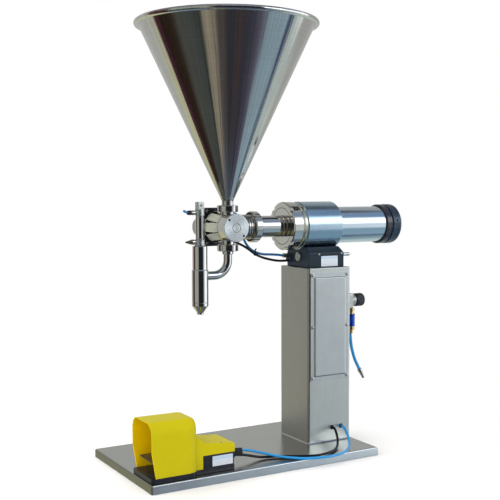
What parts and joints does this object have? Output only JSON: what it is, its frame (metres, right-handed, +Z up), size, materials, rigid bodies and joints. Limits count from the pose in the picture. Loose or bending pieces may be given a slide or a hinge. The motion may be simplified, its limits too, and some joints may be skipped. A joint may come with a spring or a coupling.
{
  "type": "piston liquid filler",
  "caption": "Bench-top pneumatic piston filler: conical hopper, rotary three-way valve, piston cylinder with volume knob, shut-off nozzle, column on a tray base and a hooded foot pedal.",
  "frame": {"origin": "centre of the base tray's footprint, on the ground, on the foot of the stiffener", "axes": "+Z up, +X from the filling nozzle towards the volume knob, +Y towards the valve actuator, away from the access cover"},
  "size_m": [0.77, 0.4348, 1.0421],
  "materials": {
    "stainless_brushed": "fine-brushed stainless sheet",
    "stainless_polished": "polished stainless steel",
    "hopper_mirror": "mirror-polished stainless sheet with long streaks",
    "machined_steel": "machined steel",
    "anodised_blue_grey": "satin blue-grey anodised",
    "turned_aluminium": "satin turned",
    "black_anodised": "satin black anodised",
    "box_black": "satin black moulding",
    "rubber_black": "matt",
    "pedal_black": "satin moulded, fine grain",
    "hose_blue": "glossy polyurethane tube",
    "hose_black": "glossy polyurethane tube",
    "pedal_yellow": "semi-gloss moulded",
    "regulator_grey": "fine cast texture",
    "sleeve_blue": "blue anodised, ribbed",
    "brass": "turned",
    "seal_white": "smooth"
  },
  "bodies": {
    "frame": {"base_plate": "stainless_brushed", "column": "stainless_brushed", "access_cover": "stainless_brushed", "cover_screw_1": "stainless_polished", "cover_screw_2": "stainless_polished", "cover_screw_3": "stainless_polished", "cover_screw_4": "stainless_polished", "cover_screw_5": "stainless_polished", "cover_screw_6": "stainless_polished", "cable_grommet_black": "rubber_black", "cable_grommet_blue": "rubber_black", "control_box": "box_black", "exhaust_fitting": "turned_aluminium", "box_hose_fitting": "stainless_polished", "valve_hose_blue": "hose_blue", "valve_hose_black": "hose_black", "cylinder_housing": "anodised_blue_grey", "rear_barrel": "turned_aluminium", "end_collar": "black_anodised", "product_cylinder": "stainless_polished", "front_ring_nut": "stainless_polished", "cylinder_union_nut": "stainless_polished", "valve_body": "stainless_polished", "valve_cover": "turned_aluminium", "hopper_union_nut": "stainless_polished", "outlet_union_nut": "stainless_polished", "hopper": "hopper_mirror", "actuator_body": "black_anodised", "nozzle_body": "stainless_polished", "nozzle_tip": "stainless_polished", "nozzle_air_barrel": "stainless_polished", "nozzle_air_top_head": "turned_aluminium", "nozzle_air_bottom_head": "turned_aluminium", "nozzle_air_fitting": "brass", "nozzle_silencer": "brass", "regulator_body": "regulator_grey", "slide_valve_body": "brass", "supply_hose": "hose_blue", "quick_plug": "brass", "pedal_base": "pedal_black", "pedal_hood": "pedal_yellow", "pedal_top_cover": "pedal_yellow", "pedal_gland": "rubber_black", "pedal_hose_blue": "hose_blue", "pedal_hose_black": "hose_black", "pedal_pin": "machined_steel"},
    "piston": {"product_piston": "seal_white", "piston_rod": "machined_steel", "air_piston": "turned_aluminium"},
    "volume_knob": {"volume_knob": "black_anodised"},
    "stop_screw": {"stop_screw": "machined_steel"},
    "valve_rotor": {"valve_rotor": "machined_steel", "actuator_pinion": "machined_steel"},
    "rack": {"rack_piston": "machined_steel"},
    "nozzle_plunger": {"nozzle_plunger": "machined_steel"},
    "treadle": {"pedal_treadle": "pedal_black"},
    "pedal_plunger": {"pedal_plunger": "machined_steel"},
    "regulator_knob": {"regulator_knob": "box_black"},
    "slide_sleeve": {"slide_valve_sleeve": "sleeve_blue"},
    "speed_screw": {"speed_control_screw": "turned_aluminium"}
  },
  "joints": [
    {"name": "piston_stroke", "type": "slide", "parent": "frame", "child": "piston", "axis": [1, 0, 0], "range_m": [0, 0.08]},
    {"name": "valve_turn", "type": "hinge", "parent": "frame", "child": "valve_rotor", "pos_m": [-0.0228, 0, 0.5577], "axis": [0, 1, 0], "range_deg": [0, 90]},
    {"name": "rack_slide", "type": "slide", "parent": "frame", "child": "rack", "axis": [1, 0, 0], "range_m": [0, 0.0142]},
    {"name": "nozzle_shutoff", "type": "slide", "parent": "frame", "child": "nozzle_plunger", "axis": [0, 0, 1], "range_m": [0, 0.012]},
    {"name": "pedal_press", "type": "hinge", "parent": "frame", "child": "treadle", "pos_m": [-0.204, -0.109, 0.05], "axis": [0, -1, 0], "range_deg": [0, 10], "stiffness_Nm_per_rad": 0.5},
    {"name": "pedal_plunger_slide", "type": "slide", "parent": "frame", "child": "pedal_plunger", "axis": [0, 0, -1], "range_m": [0, 0.0043]},
    {"name": "volume_turn", "type": "hinge", "parent": "frame", "child": "volume_knob", "pos_m": [0.452, 0, 0.5577], "axis": [1, 0, 0], "range_deg": [0, 1800]},
    {"name": "stop_slide", "type": "slide", "parent": "frame", "child": "stop_screw", "axis": [1, 0, 0], "range_m": [0, 0.0201]},
    {"name": "regulator_turn", "type": "hinge", "parent": "frame", "child": "regulator_knob", "pos_m": [0.35, -0.015, 0.3635], "axis": [1, 0, 0], "range_deg": [0, 720]},
    {"name": "slide_valve_close", "type": "slide", "parent": "frame", "child": "slide_sleeve", "axis": [0, 0, 1], "range_m": [0, 0.006]},
    {"name": "speed_turn", "type": "hinge", "parent": "frame", "child": "speed_screw", "pos_m": [0.17, -0.01, 0.4815], "axis": [1, 0, 0], "range_deg": [0, 720]}
  ],
  "couplings": [
    {"joint": "rack_slide", "follows": "valve_turn", "m_per_rad": 0.009},
    {"joint": "pedal_plunger_slide", "follows": "pedal_press", "m_per_rad": 0.024},
    {"joint": "stop_slide", "follows": "volume_turn", "m_per_rad": 0.00063662}
  ]
}
